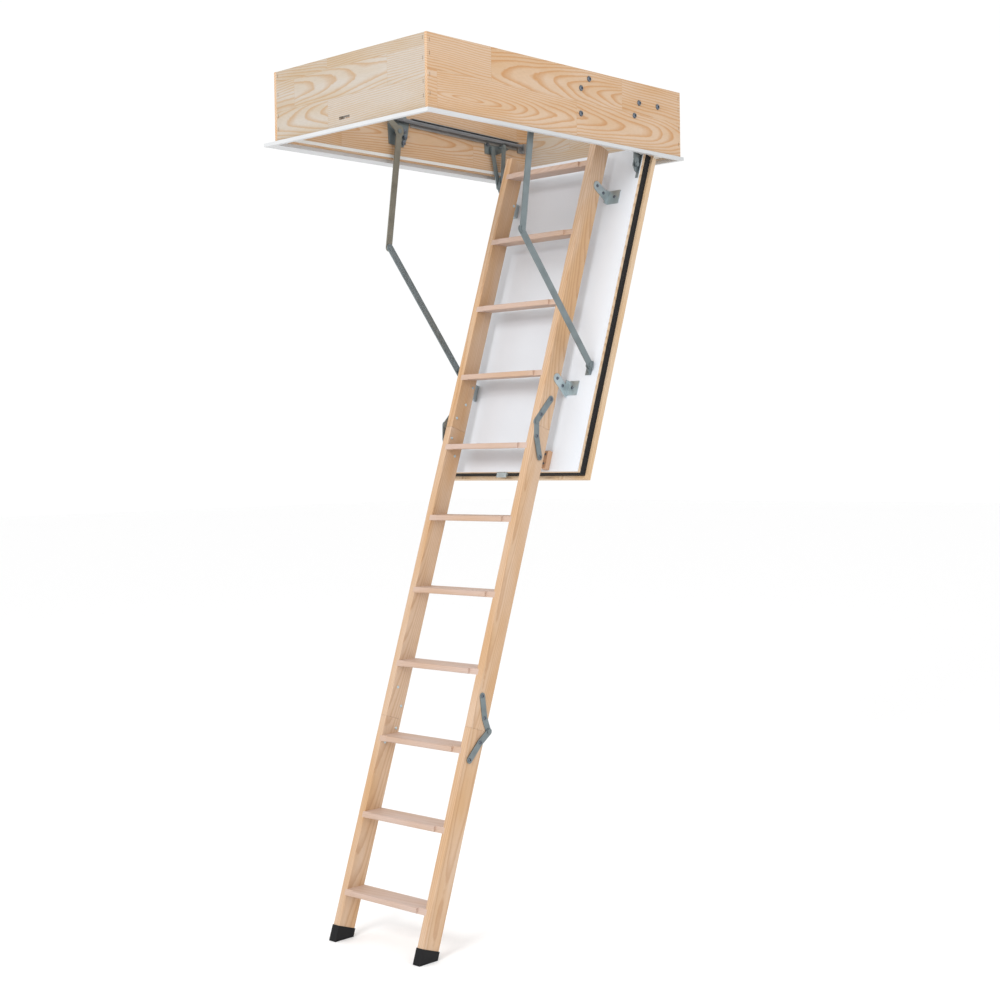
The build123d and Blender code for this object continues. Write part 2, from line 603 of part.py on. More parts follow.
# ---------------------------------------------------------------- links and arms
for side_name, side in SIDES.items():
    with BuildPart() as front_link:
        points = flip([FRONT_LINK_TOP, slope_point(*FRONT_LINK_HATCH)])
        bar(upright_plane, side, FRONT_LINK_Y, PLATE, points, LINK_WIDTH, holes=points)
    save(front_link, "front_link_" + side_name)

    with BuildPart() as rear_link:
        points = flip([REAR_LINK_TOP, slope_point(*REAR_LINK_HATCH)])
        bar(upright_plane, side, REAR_LINK_Y, PLATE, points, LINK_WIDTH, holes=points[:1])
        disc(upright_plane, side, REAR_LINK_Y - HEAD_THICKNESS, REAR_LINK_Y, points[1:], 7)
    save(rear_link, "rear_link_" + side_name)

    with BuildPart() as upper_arm:
        pivot, elbow, tail = flip([ARM_PIVOT, ELBOW, SPRING_TAIL])
        low, depth = span(side, UPPER_ARM_Y, UPPER_ARM_Y + PLATE)
        with BuildSketch(upright_plane(low)):
            draw_bar([pivot, elbow], ARM_WIDTH)
            draw_bar([pivot, tail], ARM_WIDTH - 3)
            with Locations(pivot):
                Circle(19)
                Circle(PIN_RADIUS + PIN_CLEARANCE, mode=Mode.SUBTRACT)
        extrude(amount=depth)
        disc(upright_plane, side, UPPER_ARM_Y + PLATE, SPRING_Y + 5, [tail], PIN_RADIUS)
        disc(upright_plane, side, UPPER_ARM_Y + PLATE, UPPER_ARM_Y + PLATE + 2, [elbow], 9)
    save(upper_arm, "upper_arm_" + side_name)

    with BuildPart() as lower_arm:
        elbow, foot = flip([ELBOW, slope_point(*ARM_HATCH)])
        bar(upright_plane, side, LOWER_ARM_Y, PLATE, [elbow, foot], ARM_WIDTH, holes=[foot])
        disc(upright_plane, side, LOWER_ARM_Y - 2, LOWER_ARM_Y, [elbow], 9)
    save(lower_arm, "lower_arm_" + side_name)

# ---------------------------------------------------------------- ladder sections
SECTIONS = {
    "top": (0, SECTION_JOINTS[0] - JOINT_GAP / 2, range(1, 5)),
    "middle": (SECTION_JOINTS[0] + JOINT_GAP / 2, SECTION_JOINTS[1] - JOINT_GAP / 2, range(5, 9)),
    "lower": (SECTION_JOINTS[1] + JOINT_GAP / 2, STILE_END, range(9, 12)),
}
CAP_HOLLOW = 2                   # wall of the foot cap round the stile
for section, (start, end, steps) in SECTIONS.items():
    for side_name, side in SIDES.items():
        with BuildPart() as stile:
            low, depth = span(side, STILE_INNER, LADDER_HALF)
            block(slope_plane, low, low + depth, (start, STILE_REAR), (end, STILE_FRONT))
            fillet(stile.edges().filter_by(
                lambda edge: abs(edge.length - (end - start)) < 0.01), radius=2.5)
            if section == "lower":
                low, depth = span(side, STILE_INNER, LADDER_HALF)
                with BuildSketch(slope_plane(low)):
                    with Locations(((FOOT_TOP + STILE_END + 50) / 2, (STILE_FRONT + STILE_REAR) / 2)):
                        Rectangle(STILE_END + 50 - FOOT_TOP, STILE_FRONT - STILE_REAR)
                        Rectangle(STILE_END + 50 - FOOT_TOP, STILE_FRONT - STILE_REAR - 2 * CAP_HOLLOW,
                                  mode=Mode.SUBTRACT)
                extrude(amount=depth, mode=Mode.SUBTRACT)
            housing_low, housing_depth = span(side, STILE_INNER, STILE_INNER + STEP_HOUSING)
            for number in steps:
                with BuildSketch(upright_plane(housing_low)):
                    with BuildLine():
                        Polyline(*flip(step_outline(number)), close=True)
                    make_face()
                extrude(amount=housing_depth, mode=Mode.SUBTRACT)
        save(stile, section + "_stile_" + side_name)
    for number in steps:
        with BuildPart() as step:
            outline = step_outline(number)
            housed = STILE_INNER + STEP_HOUSING
            with BuildSketch(upright_plane(-housed)):
                with BuildLine():
                    Polyline(*flip(outline), close=True)
                make_face()
            extrude(amount=2 * housed)
            nosing_half = STILE_INNER - NOSING_SETBACK
            front_x, top = outline[0]
            bottom = top - STEP_THICKNESS
            with BuildSketch(upright_plane(-nosing_half)):
                with BuildLine():
                    Polyline(
                        *flip([(front_x - NOSING, top), (front_x + 12, top),
                               (front_x + 12, bottom), (front_x - NOSING, bottom)]),
                        close=True,
                    )
                make_face()
            extrude(amount=2 * nosing_half)
            fillet(step.edges().filter_by(Axis.Y).sort_by(Axis.X)[:2], radius=4)
        save(step, "step_" + str(number).zfill(2))

# ---------------------------------------------------------------- section hinges: straps on the stiles
FIRST_UPPER_STRAP = [(899, 69.5), (962, 100.7), FIRST_PIVOT]
FIRST_LOWER_STRAP = [FIRST_PIVOT, (1037.6, 102), (1097.8, 67.8)]
SECOND_UPPER_STRAP = [(1893, 92.5), (1957, 62), SECOND_PIVOT]
SECOND_LOWER_STRAP = [SECOND_PIVOT, (2034, 61.9), (2095, 91.7)]
OUTER_STRAP = LADDER_HALF + STRAP_THICKNESS + STRAP_GAP
RIVET_REACH = 1.5


def strap(side, points, outer, pivot_first):
    """A bent strap. The outer layer stands on washers, and the inner layer carries the pivot pin."""
    near = OUTER_STRAP if outer else LADDER_HALF
    pivot = points[0] if pivot_first else points[-1]
    screws = points[1:] if pivot_first else points[:-1]
    low, depth = span(side, near, near + STRAP_THICKNESS)
    with BuildSketch(slope_plane(low)) as profile:
        draw_bar(points, STRAP_WIDTH)
        if outer:
            with Locations(pivot):
                Circle(PIN_RADIUS + PIN_CLEARANCE, mode=Mode.SUBTRACT)
    extrude(profile.sketch, amount=depth)
    if outer:
        disc(slope_plane, side, LADDER_HALF, near, screws, 8)
    else:
        reach = OUTER_STRAP + STRAP_THICKNESS + STRAP_GAP
        disc(slope_plane, side, near + STRAP_THICKNESS, reach, [pivot], PIN_RADIUS)
        disc(slope_plane, side, reach, reach + RIVET_REACH, [pivot], 8)


with BuildPart() as top_hinge_straps:
    for side in SIDES.values():
        strap(side, FIRST_UPPER_STRAP, outer=False, pivot_first=False)
save(top_hinge_straps, "top_hinge_straps")

with BuildPart() as middle_hinge_straps:
    for side in SIDES.values():
        strap(side, FIRST_LOWER_STRAP, outer=True, pivot_first=True)
        strap(side, SECOND_UPPER_STRAP, outer=False, pivot_first=False)
save(middle_hinge_straps, "middle_hinge_straps")

with BuildPart() as lower_hinge_straps:
    for side in SIDES.values():
        strap(side, SECOND_LOWER_STRAP, outer=True, pivot_first=True)
save(lower_hinge_straps, "lower_hinge_straps")

# ---------------------------------------------------------------- rivet ends on the stiles
RIVETS = {
    "top": [(906, 70), (963, 97), (157, 54), (839, 55)],
    "middle": [(1036, 100), (1090, 68), (1897, 90), (1954, 58)],
    "lower": [(2028, 59), (2081, 93)],
}
for section, inner_ends in RIVETS.items():
    with BuildPart() as rivets:
        for side in SIDES.values():
            disc(slope_plane, side, STILE_INNER - 2, STILE_INNER, inner_ends, 5)
    save(rivets, section + "_rivets")

# ---------------------------------------------------------------- brackets that hold the ladder on the hatch
BRACKET_PLATE = 3
BRACKET_WIDTH = 32
SCREW_RADIUS = 5.5
SCREW_HEIGHT = 3
SMALL_SCREW = 4.5
BRACKETS = [
    ([(138, 67), (148, 31), (157, 4)], (129, 177), (152, 237), 258),
    ([(824, 62), (839, 31), (854, 4)], (813, 862), (837, 229), 253),
]
with BuildPart() as ladder_brackets:
    for side in SIDES.values():
        for leg, foot_span, _, foot_far in BRACKETS:
            low, depth = span(side, LADDER_HALF, LADDER_HALF + BRACKET_PLATE)
            with BuildSketch(slope_plane(low)):
                draw_bar(leg, BRACKET_WIDTH)
                with Locations(((foot_span[0] + foot_span[1]) / 2, 9)):
                    Rectangle(foot_span[1] - foot_span[0], 18)
                with Locations((leg[-1][0], -20)):
                    Rectangle(100, 40, mode=Mode.SUBTRACT)
            extrude(amount=depth)
            low, depth = span(side, LADDER_HALF, foot_far)
            block(slope_plane, low, low + depth, (foot_span[0], 0), (foot_span[1], BRACKET_PLATE))
save(ladder_brackets, "ladder_brackets")

with BuildPart() as bracket_screws:
    for side in SIDES.values():
        for leg, _, screw, _ in BRACKETS:
            along, across = screw
            x, z = slope_point(along, BRACKET_PLATE)
            with BuildSketch(Plane(origin=(x, side * across, z), z_dir=OUT)):
                Circle(SCREW_RADIUS)
            extrude(amount=SCREW_HEIGHT)
            near = LADDER_HALF + BRACKET_PLATE
            disc(slope_plane, side, near, near + SCREW_HEIGHT, leg[:2], SCREW_RADIUS)
        x, z = slope_point(782, FOOT_PLATE)
        with BuildSketch(Plane(origin=(x, side * (ARM_EAR_Y - 9), z), z_dir=OUT)):
            Circle(SMALL_SCREW)
        extrude(amount=SCREW_HEIGHT - 1)
save(bracket_screws, "bracket_screws")

# ---------------------------------------------------------------- feet
FOOT_BULGE = 1.5
for side_name, side in SIDES.items():
    with BuildPart() as foot:
        low, depth = span(side, STILE_INNER - FOOT_BULGE, LADDER_HALF + FOOT_BULGE)
        front, rear = STILE_FRONT + FOOT_BULGE, STILE_REAR - FOOT_BULGE
        with BuildSketch(slope_plane(low)):
            with BuildLine():
                Polyline(
                    (FOOT_TOP, front),
                    ((FLOOR_Z - front * OUT[2]) / DOWN[2], front),
                    ((FLOOR_Z - rear * OUT[2]) / DOWN[2], rear),
                    (FOOT_TOP, rear),
                    close=True,
                )
            make_face()
        extrude(amount=depth)
        low, depth = span(side, STILE_INNER, LADDER_HALF)
        block_low, block_high = (FOOT_TOP, STILE_REAR + CAP_HOLLOW), (STILE_END, STILE_FRONT - CAP_HOLLOW)
        with BuildSketch(slope_plane(low)):
            with Locations(((block_low[0] + block_high[0]) / 2, (block_low[1] + block_high[1]) / 2)):
                Rectangle(block_high[0] - block_low[0], block_high[1] - block_low[1])
        extrude(amount=depth, mode=Mode.SUBTRACT)
    save(foot, "foot_" + side_name)
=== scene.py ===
"""Looks of the attic ladder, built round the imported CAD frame. Metres, +Z up."""
from math import atan2, cos, pi, radians, sin, tau

import bpy
from mathutils import Matrix, Vector


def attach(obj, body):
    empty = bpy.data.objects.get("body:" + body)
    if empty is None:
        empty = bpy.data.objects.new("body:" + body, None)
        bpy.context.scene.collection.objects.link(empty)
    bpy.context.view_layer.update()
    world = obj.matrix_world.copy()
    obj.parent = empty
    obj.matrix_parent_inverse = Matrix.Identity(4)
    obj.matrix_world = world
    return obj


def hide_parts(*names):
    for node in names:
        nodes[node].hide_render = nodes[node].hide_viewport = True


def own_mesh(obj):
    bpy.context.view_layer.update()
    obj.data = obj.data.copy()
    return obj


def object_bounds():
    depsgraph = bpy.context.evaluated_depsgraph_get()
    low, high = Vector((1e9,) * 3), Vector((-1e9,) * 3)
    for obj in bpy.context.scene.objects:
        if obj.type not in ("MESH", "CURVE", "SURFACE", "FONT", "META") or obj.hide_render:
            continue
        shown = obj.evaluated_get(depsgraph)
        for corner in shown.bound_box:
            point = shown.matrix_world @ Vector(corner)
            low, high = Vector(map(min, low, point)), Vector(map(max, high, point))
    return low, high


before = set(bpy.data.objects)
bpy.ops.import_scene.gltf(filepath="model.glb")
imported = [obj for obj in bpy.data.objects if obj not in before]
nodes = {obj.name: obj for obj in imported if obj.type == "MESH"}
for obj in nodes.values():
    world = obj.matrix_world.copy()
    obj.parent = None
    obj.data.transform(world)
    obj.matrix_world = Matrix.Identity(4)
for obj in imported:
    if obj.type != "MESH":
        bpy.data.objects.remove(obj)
cad_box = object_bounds()

SLOPE = radians(71.18)                        # the open hatch and ladder, from the horizontal
DOWN = Vector((-cos(SLOPE), 0, -sin(SLOPE)))  # down the ladder
OUT = Vector((-sin(SLOPE), 0, cos(SLOPE)))    # square off the hatch's white face
HATCH_ORIGIN = Vector((0.431, 0, 0))          # where the ladder coordinates start
GRAIN_ON_SLOPE = (0, atan2(DOWN.z, DOWN.x), 0)
SIDES = {"right": -1, "left": 1}


def on_slope(along, off, y):
    """A point in ladder coordinates: along the ladder, out from the hatch, and across."""
    return HATCH_ORIGIN + DOWN * along + OUT * off + Vector((0, y, 0))


# ---------------------------------------------------------------- material tools
class Graph:
    """A new material with short calls for adding and joining its nodes."""

    def __init__(self, name):
        self.material = bpy.data.materials.new(name)
        self.material.use_nodes = True
        self.tree = self.material.node_tree
        self.shader = self.tree.nodes["Principled BSDF"]

    def add(self, kind, inputs=None, **settings):
        node = self.tree.nodes.new("ShaderNode" + kind)
        for key, value in settings.items():
            setattr(node, key, value)
        for key, value in (inputs or {}).items():
            if isinstance(value, bpy.types.NodeSocket):
                self.tree.links.new(value, node.inputs[key])
            else:
                node.inputs[key].default_value = value
        return node

    def set(self, key, value):
        if isinstance(value, bpy.types.NodeSocket):
            self.tree.links.new(value, self.shader.inputs[key])
        else:
            self.shader.inputs[key].default_value = value

    def math(self, operation, a, b):
        return self.add("Math", {0: a, 1: b}, operation=operation).outputs[0]

    def vector(self, operation, a, b):
        return self.add("VectorMath", {0: a, 1: b}, operation=operation).outputs[0]

    def mix(self, factor, a, b, blend="MIX"):
        node = self.add("Mix", {0: factor, 6: a, 7: b}, data_type="RGBA", blend_type=blend)
        return node.outputs[2]

    def ramp(self, factor, stops):
        node = self.add("ValToRGB", {0: factor})
        elements = node.color_ramp.elements
        while len(elements) < len(stops):
            elements.new(0.5)
        for element, (place, colour) in zip(elements, stops):
            element.position = place
            element.color = colour
        return node.outputs[0]

    def noise(self, vector, scale, detail=3.0, roughness=0.5):
        inputs = {"Vector": vector, "Scale": scale, "Detail": detail, "Roughness": roughness}
        return self.add("TexNoise", inputs)

    def between(self, factor, low, high):
        """A value that goes from low to high as the factor goes from 0 to 1."""
        return self.add("MapRange", {0: factor, 3: low, 4: high}).outputs[0]

    def bump(self, height, distance, strength):
        inputs = {"Height": height, "Distance": distance, "Strength": strength}
        self.set("Normal", self.add("Bump", inputs).outputs[0])


def grey(value):
    return (value, value, value, 1)


def dimmed(colour, factor):
    """The colour made darker, or paler with a factor over 1."""
    return tuple(min(1, part * factor) for part in colour[:3]) + (1,)


WOOD_ROUGHNESS = 0.55
WAVE_PER_METRE = 0.314      # the wave texture's scale times the width of a ring
LOG_OFFSET = 0.05           # how far a piece's pith may lie from its usual place, across the log
LOG_DEPTH = 0.14            # and square to that
LOG_LEAN = 0.22             # how far the fibres may lean from the piece's length


def glued_blocks(g, place, seed, blocks):
    """The tone of each glued block, and where the thin joints between the blocks are."""
    width, height, flat = blocks
    parts = g.add("SeparateXYZ", {0: place})
    along = g.math("ADD", parts.outputs[flat], seed)
    sheet = g.add("CombineXYZ", {0: along, 1: parts.outputs["Z"]}).outputs[0]
    brick = g.add("TexBrick", {
        "Vector": sheet, "Scale": 1.0, "Color1": grey(0), "Color2": grey(1), "Mortar": grey(0.5),
        "Mortar Size": 0.0004, "Mortar Smooth": 0.3, "Brick Width": width, "Row Height": height,
    }, offset=0.37, squash=1.0)
    tone = g.add("RGBToBW", {0: brick.outputs["Color"]}).outputs[0]
    return tone, brick.outputs["Fac"]


def place_in_log(g, place, axes, pith, shift):
    """Where each point lies in its own log: along the fibres, then across from the pith."""
    fibre, first, second = [
        g.add("VectorMath", {0: place, 1: axis}, operation="DOT_PRODUCT").outputs["Value"] for axis in axes
    ]
    lean = g.math("SUBTRACT", g.math("FRACT", g.math("MULTIPLY", shift, 3.31), 0), 0.5)
    offset = g.math("SUBTRACT", g.math("FRACT", g.math("MULTIPLY", shift, 5.17), 0), 0.5)
    across = g.math("SUBTRACT", g.math("ABSOLUTE", first, 0), pith[0])
    across = g.math("ADD", across, g.math("MULTIPLY", offset, LOG_OFFSET))
    across = g.math("ADD", across, g.math("MULTIPLY", fibre, g.math("MULTIPLY", lean, LOG_LEAN)))
    deep = g.math("ADD", g.math("SUBTRACT", second, pith[1]), g.math("MULTIPLY", lean, LOG_DEPTH))
    return g.add("CombineXYZ", {0: g.math("ADD", fibre, shift), 1: across, 2: deep}).outputs[0]


def growth_rings(g, log_place, ring, knot):
    """Rings round the pith, a ring's width apart and bent a little by the tree's own growth."""
    swirl = g.noise(g.vector("MULTIPLY", log_place, (2, 8, 8)), 1.0, 2.0).outputs["Color"]
    swirl = g.vector("MULTIPLY", g.vector("SUBTRACT", swirl, (0.5, 0.5, 0.5)), (0, knot, knot))
    bent = g.vector("ADD", log_place, swirl)
    return g.add("TexWave", {
        "Vector": bent, "Scale": WAVE_PER_METRE / ring, "Distortion": 0.6, "Detail": 2.0, "Detail Scale": 1.5,
    }, wave_type="RINGS", rings_direction="X", wave_profile="SAW").outputs["Fac"]


def wood(name, early, late, axes, pith, ring, blocks=None, tone=0.12, contrast=1.0, knot=0.02):
    """Planed timber: growth rings cut by the face, fine fibres, and glued blocks if asked for.

    early and late are the two colours of a ring. axes are the fibre direction and the two across
    it, and pith is where the rings' centre lies on those two. ring is a ring's width. blocks is
    (width, height, horizontal axis) of the glued blocks.
    """
    g = Graph(name)
    place = g.add("TexCoord").outputs["Object"]
    seed = g.add("ObjectInfo").outputs["Random"]
    shift = g.math("MULTIPLY", seed, 1.7)
    if blocks:
        block_tone, joint = glued_blocks(g, place, seed, blocks)
        shift = g.math("ADD", shift, g.math("MULTIPLY", block_tone, 2.3))
    log_place = place_in_log(g, place, axes, pith, shift)
    rings = growth_rings(g, log_place, ring, knot)
    fibres = g.noise(g.vector("MULTIPLY", log_place, (9, 700, 700)), 1.0, 4.0, 0.6).outputs["Fac"]
    patches = g.noise(g.vector("MULTIPLY", log_place, (3, 14, 14)), 1.0, 2.0).outputs["Fac"]
    colour = g.ramp(rings, [(0.0, early), (0.45, early), (0.86, late), (0.97, early)])
    colour = g.mix(1 - contrast, colour, early)
    warm = (1 - 0.4 * tone, 1 - 1.2 * tone, 1 - 2.4 * tone, 1)
    colour = g.mix(1.0, colour, g.ramp(patches, [(0.32, warm), (0.62, grey(1.0))]), "MULTIPLY")
    colour = g.mix(1.0, colour, g.ramp(fibres, [(0.3, grey(0.90)), (0.6, grey(1.0))]), "MULTIPLY")
    if blocks:
        block_shade = g.ramp(block_tone, [(0.0, grey(1.0)), (1.0, (0.95, 0.91, 0.85, 1))])
        colour = g.mix(1.0, colour, block_shade, "MULTIPLY")
        colour = g.mix(g.math("MULTIPLY", joint, 0.35), colour, (0.30, 0.18, 0.09, 1))
    g.set("Base Color", colour)
    g.set("Roughness", g.between(fibres, WOOD_ROUGHNESS - 0.07, WOOD_ROUGHNESS + 0.1))
    g.set("Specular IOR Level", 0.35)
    g.bump(g.math("ADD", fibres, g.math("MULTIPLY", rings, 0.5)), 0.00025, 0.5)
    return g.material


def metal(name, colour, roughness, metallic=0.8):
    """Plated sheet: a soft mottled sheen."""
    g = Graph(name)
    place = g.add("TexCoord").outputs["Object"]
    cloud = g.noise(place, 26.0, 3.0).outputs["Fac"]
    grain = g.noise(place, 260.0, 2.0).outputs["Fac"]
    tones = [(0.3, dimmed(colour, 0.86)), (0.5, colour), (0.72, dimmed(colour, 1.12))]
    g.set("Base Color", g.ramp(cloud, tones))
    g.set("Metallic", metallic)
    g.set("Roughness", g.between(cloud, roughness - 0.08, roughness + 0.12))
    g.bump(g.math("ADD", cloud, g.math("MULTIPLY", grain, 0.6)), 0.0002, 0.04)
    return g.material


def moulded(name, colour, roughness, grain_scale=900.0, depth=0.00015, spread=0.08, coat=0.0, shine=0.5):
    """Plastic, foam or lacquer with a fine surface texture and a slight change of tone."""
    g = Graph(name)
    place = g.add("TexCoord").outputs["Object"]
    grain = g.noise(place, grain_scale, 2.0).outputs["Fac"]
    cloud = g.noise(place, 7.0, 3.0).outputs["Fac"]
    g.set("Base Color", g.ramp(cloud, [(0.3, dimmed(colour, 1 - spread)), (0.7, colour)]))
    g.set("Roughness", g.between(grain, roughness - 0.05, roughness + 0.08))
    g.set("Coat Weight", coat)
    g.set("Specular IOR Level", shine)
    g.bump(grain, depth, 0.4)
    return g.material


def ribbed_rubber(name):
    """Black sealing rubber with fine ribs running along the strip."""
    g = Graph(name)
    place = g.add("TexCoord").outputs["Object"]
    turned = g.add("Mapping", {"Vector": place, "Rotation": GRAIN_ON_SLOPE}).outputs[0]
    ribs = g.add("TexWave", {"Vector": turned, "Scale": 70.0}, bands_direction="Z").outputs["Fac"]
    dust = g.noise(place, 300.0, 3.0).outputs["Fac"]
    tones = [(0.35, (0.008, 0.008, 0.009, 1)), (0.75, (0.035, 0.035, 0.036, 1))]
    g.set("Base Color", g.ramp(dust, tones))
    g.set("Roughness", 0.7)
    g.set("Specular IOR Level", 0.15)
    g.bump(ribs, 0.0006, 0.7)
    return g.material


# ---------------------------------------------------------------- the materials
ALONG_X = ((1, 0, 0), (0, 1, 0), (0, 0, 1))
ALONG_Y = ((0, 1, 0), (1, 0, 0), (0, 0, 1))
ALONG_SLOPE = (DOWN, (0, 1, 0), OUT)
SLOPE_LEVEL = HATCH_ORIGIN.dot(OUT)
END_BLOCKS = (0.43, 0.092, "Y")
SIDE_BLOCKS = (0.62, 0.115, "X")

pine_end = wood(
    "pine_end_board", (0.46, 0.415, 0.365, 1), (0.41, 0.27, 0.155, 1), ALONG_Y,
    pith=(0.55, 0.11), ring=0.0060, blocks=END_BLOCKS, contrast=0.8, knot=0.035)
pine_side = wood(
    "pine_side_board", (0.60, 0.44, 0.31, 1), (0.50, 0.25, 0.09, 1), ALONG_X,
    pith=(0.30, 0.11), ring=0.0065, blocks=SIDE_BLOCKS, contrast=0.8, knot=0.035)
pine_stile = wood(
    "pine_stile", (0.59, 0.425, 0.30, 1), (0.46, 0.28, 0.165, 1), ALONG_SLOPE,
    pith=(0.16, SLOPE_LEVEL + 0.078), ring=0.006, tone=0.16, contrast=0.7)
pine_hatch = wood(
    "pine_hatch", (0.68, 0.53, 0.38, 1), (0.46, 0.30, 0.18, 1), ALONG_SLOPE,
    pith=(0.27, SLOPE_LEVEL - 0.07), ring=0.003, contrast=0.8)
beech_step = wood(
    "beech_step", (0.55, 0.415, 0.35, 1), (0.46, 0.315, 0.245, 1), ALONG_Y,
    pith=(0, 0), ring=0.005, contrast=0.5)
plywood = wood(
    "plywood_sheet", (0.72, 0.58, 0.42, 1), (0.62, 0.45, 0.29, 1), ALONG_SLOPE,
    pith=(0.1, SLOPE_LEVEL), ring=0.012, contrast=0.6)
block_wood = wood(
    "hardwood_block", (0.58, 0.37, 0.24, 1), (0.42, 0.22, 0.12, 1), ALONG_SLOPE,
    pith=(0.17, SLOPE_LEVEL), ring=0.003)
zinc = metal("zinc_plate", (0.20, 0.235, 0.245, 1), 0.44, metallic=0.7)
# The same zinc plate made warmer: a painted reflection of the pine boards round the upper left arm inside the
# box.
zinc_painted_wood_reflection = metal("zinc_plate_painted_wood_reflection", (0.25, 0.24, 0.20, 1), 0.44, metallic=0.7)
rail_steel = metal("dark_rail_steel", (0.34, 0.345, 0.35, 1), 0.42)
staple_wire = metal("tarnished_staple_wire", (0.09, 0.06, 0.045, 1), 0.5)
bright_zinc = metal("bright_zinc", (0.47, 0.54, 0.56, 1), 0.32)
spring_steel = metal("oiled_spring_steel", (0.20, 0.205, 0.215, 1), 0.36)
dark_steel = metal("blackened_steel", (0.14, 0.16, 0.19, 1), 0.3)
white_trim = moulded("white_trim", (0.56, 0.57, 0.58, 1), 0.42, coat=0.15)
white_seal = moulded("white_foam_seal", (0.74, 0.74, 0.72, 1), 0.8, grain_scale=500.0, depth=0.0004)
white_panel = moulded(
    "white_lacquered_panel", (0.68, 0.71, 0.755, 1), 0.33,
    grain_scale=120.0, depth=0.00008, spread=0.03, coat=0.2)
foam_core = moulded("insulation_foam", (0.80, 0.80, 0.76, 1), 0.9, grain_scale=250.0, depth=0.0006)
black_plastic = moulded(
    "black_plastic", (0.006, 0.006, 0.007, 1), 0.45, grain_scale=1300.0, depth=0.0002, shine=0.2)
black_rubber = ribbed_rubber("black_rubber_seal")

FINISHES = {
    pine_side: ["side_board_right", "side_board_left"],
    pine_end: ["hinge_end_board", "latch_end_board"],
    white_trim: ["casing_trim"],
    white_seal: ["casing_seal"],
    bright_zinc: ["strike_plate", "latch_bolt", "ladder_brackets"],
    staple_wire: ["corner_staples"],
    rail_steel: ["spring_rails"],
    zinc: [
        "hinge_plates", "arm_plates", "latch_case", "hatch_hinge_brackets", "arm_brackets",
        "front_link_right", "front_link_left", "rear_link_right", "rear_link_left",
        "upper_arm_right", "lower_arm_right", "lower_arm_left",
        "top_hinge_straps", "middle_hinge_straps", "lower_hinge_straps",
    ],
    # The upper left arm gets the zinc plate with a painted warm reflection of the pine boards.
    zinc_painted_wood_reflection: ["upper_arm_left"],
    white_panel: ["hatch_inner_sheet"],
    foam_core: ["hatch_core"],
    pine_hatch: ["hatch_inner_frame", "hatch_outer_frame"],
    plywood: ["hatch_outer_sheet"],
    black_rubber: ["hatch_seal"],
    block_wood: ["stop_block"],
    pine_stile: [section + "_stile_" + side for section in ("top", "middle", "lower") for side in SIDES],
    beech_step: [name for name in nodes if name.startswith("step_")],
    black_plastic: ["foot_right", "foot_left"],
}
EDGE_RADIUS = {
    pine_side: 0.0008, pine_end: 0.0008, pine_hatch: 0.0008, beech_step: 0.0008,
    plywood: 0.0005, block_wood: 0.001,
    zinc: 0.0004, zinc_painted_wood_reflection: 0.0004, bright_zinc: 0.0003,
    white_trim: 0.0025, white_panel: 0.0006, black_plastic: 0.002, black_rubber: 0.0008,
}


def soften_edges(obj, radius):
    """Rounds the sharp edges a little, as a bevel that keeps the CAD mesh as it is."""
    bevel = obj.modifiers.new("soft_edges", "BEVEL")
    bevel.width = radius
    bevel.segments = 2
    bevel.limit_method = "ANGLE"
    bevel.angle_limit = radians(40)
    bevel.harden_normals = True


def finish_node(name, material):
    obj = nodes[name]
    for index in range(len(obj.material_slots)):
        obj.material_slots[index].material = material
    if material in EDGE_RADIUS:
        soften_edges(obj, EDGE_RADIUS[material])


for material, names in FINISHES.items():
    for name in names:
        finish_node(name, material)


# ---------------------------------------------------------------- mesh tools
def make_object(name, vertices, faces, material, body):
    """A new smooth piece with sharp edges kept, riding on a body."""
    mesh = bpy.data.meshes.new(name)
    mesh.from_pydata(vertices, [], faces)
    mesh.materials.append(material)
    mesh.validate()
    mesh.update()
    obj = bpy.data.objects.new(name, mesh)
    bpy.context.scene.collection.objects.link(obj)
    mesh.polygons.foreach_set("use_smooth", [True] * len(mesh.polygons))
    mesh.set_sharp_from_angle(angle=radians(38))
    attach(obj, body)
    return obj


def skin_rings(faces, first, rings, sides):
    """Joins rings of points, numbered from first on, into a closed skin with a cap at both ends."""
    for level in range(rings - 1):
        low = first + level * sides
        high = low + sides
        for step in range(sides):
            following = (step + 1) % sides
            faces.append((low + step, low + following, high + following, high + step))
    last = first + (rings - 1) * sides
    faces.append(tuple(reversed(range(first, first + sides))))
    faces.append(tuple(range(last, last + sides)))


RING_STEPS = 36


def outline(shape, radius, turn):
    """Distance from the axis at one angle, for a round, six-sided or six-lobed outline."""
    if shape == "hex":
        return radius * cos(pi / 6) / cos((turn + pi / 6) % (pi / 3) - pi / 6)
    if shape == "star":
        return radius * (1 + 0.16 * cos(6 * turn))
    return radius


def add_turned(solids, centre, axis, rings):
    """Adds a closed solid built of rings about an axis. Each ring is (shape, radius, height)."""
    vertices, faces = solids
    axis = Vector(axis).normalized()
    side = axis.orthogonal().normalized()
    up = axis.cross(side)
    first = len(vertices)
    for shape, radius, height in rings:
        for step in range(RING_STEPS):
            turn = tau * step / RING_STEPS
            reach = outline(shape, radius, turn)
            spoke = side * cos(turn) * reach + up * sin(turn) * reach
            vertices.append(Vector(centre) + spoke + axis * height)
    skin_rings(faces, first, len(rings), RING_STEPS)


def screw_rings(radius, height):
    """A pan head with a six-lobed driving recess."""
    return [
        ("round", radius, 0), ("round", radius, height * 0.35), ("round", radius * 0.93, height * 0.66),
        ("round", radius * 0.76, height * 0.9), ("round", radius * 0.6, height),
        ("star", radius * 0.46, height), ("star", radius * 0.44, height * 0.35),
        ("star", radius * 0.1, height * 0.3),
    ]


def rivet_rings(radius, height):
    """A domed rivet head with a dimple."""
    return [
        ("round", radius, 0), ("round", radius * 0.97, height * 0.4), ("round", radius * 0.8, height * 0.8),
        ("round", radius * 0.5, height), ("round", radius * 0.3, height),
        ("round", radius * 0.22, height * 0.7),
    ]


